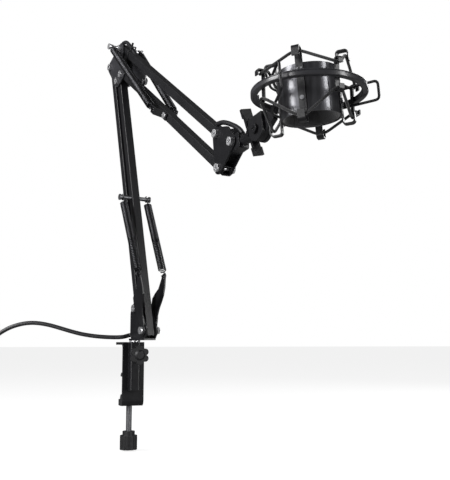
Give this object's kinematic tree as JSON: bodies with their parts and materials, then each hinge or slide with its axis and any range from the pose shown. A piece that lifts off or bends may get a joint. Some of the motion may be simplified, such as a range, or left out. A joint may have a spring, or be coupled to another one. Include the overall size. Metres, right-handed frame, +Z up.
{
  "type": "microphone boom arm with shock mount",
  "caption": "Spring-balanced scissor boom arm with a desk clamp, a swivelling base, parallel square-tube links, and a cord-suspended cup with squeeze handles for a microphone.",
  "frame": {"origin": "on the clamp screw's axis, at the lower face of the upper jaw, the face that rests on a desk", "axes": "+Z up; the clamp's jaws open towards -X and its swivel socket is on the +X side; the arm reaches towards +X, turned by 12 degrees towards +Y"},
  "size_m": [0.4741, 0.3363, 0.5266],
  "materials": {
    "black_paint": "semi-gloss black powder coat",
    "bar_paint": "semi-gloss black paint on square steel tube",
    "elbow_paint": "dark paint with a pale sheen",
    "black_plastic": "moulded black plastic",
    "pad_rubber": "soft black rubber",
    "cable_rubber": "smooth black cable jacket",
    "cord": "woven black elastic cord",
    "plated_steel": "bright zinc-plated steel",
    "spring_steel": "close-wound spring wire",
    "dull_steel": "dull plated steel",
    "cup_metal": "satin dark grey metallic paint",
    "felt": "dark grey felt lining",
    "plug_metal": "satin nickel plate"
  },
  "bodies": {
    "clamp": {"clamp_frame": "black_paint"},
    "lock": {"lock_screw": "plated_steel", "lock_knob": "black_plastic"},
    "screw": {"clamp_screw": "dull_steel", "clamp_knob": "black_plastic"},
    "pad": {"pressure_pad": "dull_steel", "pad_rubber": "pad_rubber"},
    "swivel": {"swivel_post": "plated_steel", "base_bracket": "black_paint", "base_bolts": "plated_steel", "base_nuts": "plated_steel", "spring_lugs": "black_paint", "cable_tail": "cable_rubber", "plug_shell": "plug_metal", "plug_pins": "plug_metal"},
    "rear_bar": {"lower_rear_bar": "bar_paint"},
    "front_bar": {"lower_front_bar": "bar_paint", "lower_spring_pin": "dull_steel"},
    "lower_springs": {"lower_spring_left": "spring_steel", "lower_spring_right": "spring_steel"},
    "elbow": {"elbow_plate_left": "elbow_paint", "elbow_plate_right": "elbow_paint", "elbow_bolts": "plated_steel", "elbow_nuts": "plated_steel", "elbow_cable": "cable_rubber", "upper_spring_pin": "plated_steel"},
    "top_bar": {"upper_top_bar": "bar_paint", "elbow_cable_tie": "black_plastic"},
    "bottom_bar": {"upper_bottom_bar": "bar_paint", "spring_clip": "black_paint", "clip_bolt": "plated_steel"},
    "upper_springs": {"upper_springs": "spring_steel"},
    "upper_spring_ends": {"upper_spring_hooks": "spring_steel"},
    "head": {"tip_plate_left": "black_paint", "tip_plate_right": "black_paint", "tip_bolts": "plated_steel", "tip_nuts": "plated_steel", "head_block": "black_paint", "head_tube": "black_paint", "head_cable": "cable_rubber"},
    "wings": {"wing_collar": "black_paint"},
    "knuckle": {"knuckle_fork": "black_paint", "knuckle_bolt": "black_paint", "knuckle_nut": "black_paint"},
    "ring": {"mount_ring": "black_paint", "ring_stem": "black_paint", "ring_posts": "black_paint", "upper_cord": "cord", "lower_cord": "cord"},
    "cup_core": {"cup_hinge_pin": "plated_steel"},
    "left_half": {"cup_left": "cup_metal", "felt_left": "felt", "cup_legs_left": "black_paint", "leg_screws_left": "dull_steel", "handle_right": "black_paint"},
    "right_half": {"cup_right": "cup_metal", "felt_right": "felt", "cup_legs_right": "black_paint", "leg_screws_right": "dull_steel", "handle_left": "black_paint"}
  },
  "joints": [
    {"name": "lock_turn", "type": "hinge", "parent": "clamp", "child": "lock", "pos_m": [0.0475, 0, -0.012], "axis": [1, 0, 0], "range_deg": [0, 360]},
    {"name": "pad_travel", "type": "slide", "parent": "clamp", "child": "pad", "axis": [0, 0, 1], "range_m": [-0.0125, 0.0125]},
    {"name": "screw_turn", "type": "hinge", "parent": "pad", "child": "screw", "pos_m": [0, 0, -0.1], "axis": [0, 0, 1], "range_deg": [-3010, 3010]},
    {"name": "swivel", "type": "hinge", "parent": "clamp", "child": "swivel", "pos_m": [0.0262, 0, -0.01], "axis": [0, 0, 1], "continuous": true},
    {"name": "lower_arm_tilt", "type": "hinge", "parent": "swivel", "child": "front_bar", "pos_m": [0.06337, 0.0079, 0.0165], "axis": [-0.2079, 0.9781, 0], "range_deg": [-8, 45], "stiffness_Nm_per_rad": 1, "springref_deg": -44.69},
    {"name": "rear_bar_tilt", "type": "hinge", "parent": "swivel", "child": "rear_bar", "pos_m": [0.03989, 0.00291, 0.043], "axis": [-0.2079, 0.9781, 0], "range_deg": [-9, 46]},
    {"name": "elbow_level", "type": "hinge", "parent": "front_bar", "child": "elbow", "pos_m": [-0.02495, -0.01087, 0.34429], "axis": [-0.2079, 0.9781, 0], "range_deg": [-46, 9], "stiffness_Nm_per_rad": 1, "springref_deg": -83.08},
    {"name": "lower_spring_tilt", "type": "hinge", "parent": "swivel", "child": "lower_springs", "pos_m": [0.06924, 0.00915, 0.079], "axis": [-0.2079, 0.9781, 0], "range_deg": [-13, 68.5], "deforming": ["lower_spring_left", "lower_spring_right"]},
    {"name": "upper_arm_tilt", "type": "hinge", "parent": "elbow", "child": "top_bar", "pos_m": [-0.01653, -0.00908, 0.38589], "axis": [0.2079, -0.9781, 0], "range_deg": [-16, 40], "stiffness_Nm_per_rad": 1, "springref_deg": 69.73, "deforming": ["elbow_cable"]},
    {"name": "bottom_bar_tilt", "type": "hinge", "parent": "elbow", "child": "bottom_bar", "pos_m": [-0.01252, -0.00823, 0.34989], "axis": [0.2079, -0.9781, 0], "range_deg": [-17, 41]},
    {"name": "head_level", "type": "hinge", "parent": "top_bar", "child": "head", "pos_m": [0.22485, 0.04222, 0.21181], "axis": [0.2079, -0.9781, 0], "range_deg": [-41, 17], "deforming": ["head_cable"]},
    {"name": "upper_spring_tilt", "type": "hinge", "parent": "elbow", "child": "upper_springs", "pos_m": [-0.01653, -0.00908, 0.38589], "axis": [0.2079, -0.9781, 0], "range_deg": [-14.71, 35.28]},
    {"name": "upper_spring_stretch", "type": "slide", "parent": "upper_springs", "child": "upper_spring_ends", "axis": [0.6949, 0.1477, -0.7038], "range_m": [-0.02127, 0.00971], "deforming": ["upper_springs", "upper_spring_hooks"]},
    {"name": "wing_turn", "type": "hinge", "parent": "head", "child": "wings", "pos_m": [0.28067, 0.05409, 0.19847], "axis": [0.9661, 0.2054, 0.1564], "range_deg": [0, 360]},
    {"name": "knuckle_turn", "type": "hinge", "parent": "head", "child": "knuckle", "pos_m": [0.29323, 0.05676, 0.2005], "axis": [0.9661, 0.2054, 0.1564], "range_deg": [-180, 180]},
    {"name": "mount_tilt", "type": "hinge", "parent": "knuckle", "child": "ring", "pos_m": [0.29323, 0.05676, 0.2005], "axis": [-0.2079, 0.9781, 0], "range_deg": [-45, 60]},
    {"name": "cup_bounce", "type": "slide", "parent": "ring", "child": "cup_core", "axis": [-0.0393, -0.0083, 0.9992], "range_m": [-0.0015, 0.0015], "stiffness_N_per_m": 1500, "springref_m": 0.0007, "deforming": ["upper_cord", "lower_cord"]},
    {"name": "left_half_open", "type": "hinge", "parent": "cup_core", "child": "left_half", "pos_m": [0.33688, 0.06604, 0.21271], "axis": [-0.0247, -0.0766, 0.9968], "range_deg": [0, 4]},
    {"name": "right_half_open", "type": "hinge", "parent": "cup_core", "child": "right_half", "pos_m": [0.33688, 0.06604, 0.21271], "axis": [-0.0247, -0.0766, 0.9968], "range_deg": [-4.2, 0.2]}
  ],
  "couplings": [
    {"joint": "screw_turn", "follows": "pad_travel", "rad_per_m": 4188.8},
    {"joint": "rear_bar_tilt", "follows": "lower_arm_tilt", "ratio": 1},
    {"joint": "elbow_level", "follows": "lower_arm_tilt", "ratio": -1},
    {"joint": "lower_spring_tilt", "follows": "lower_arm_tilt", "ratio": 1.5},
    {"joint": "bottom_bar_tilt", "follows": "upper_arm_tilt", "ratio": 1},
    {"joint": "head_level", "follows": "upper_arm_tilt", "ratio": -1},
    {"joint": "upper_spring_tilt", "follows": "upper_arm_tilt", "ratio": 0.857},
    {"joint": "upper_spring_stretch", "follows": "upper_arm_tilt", "m_per_rad": -0.0276},
    {"joint": "right_half_open", "follows": "left_half_open", "ratio": -1}
  ]
}
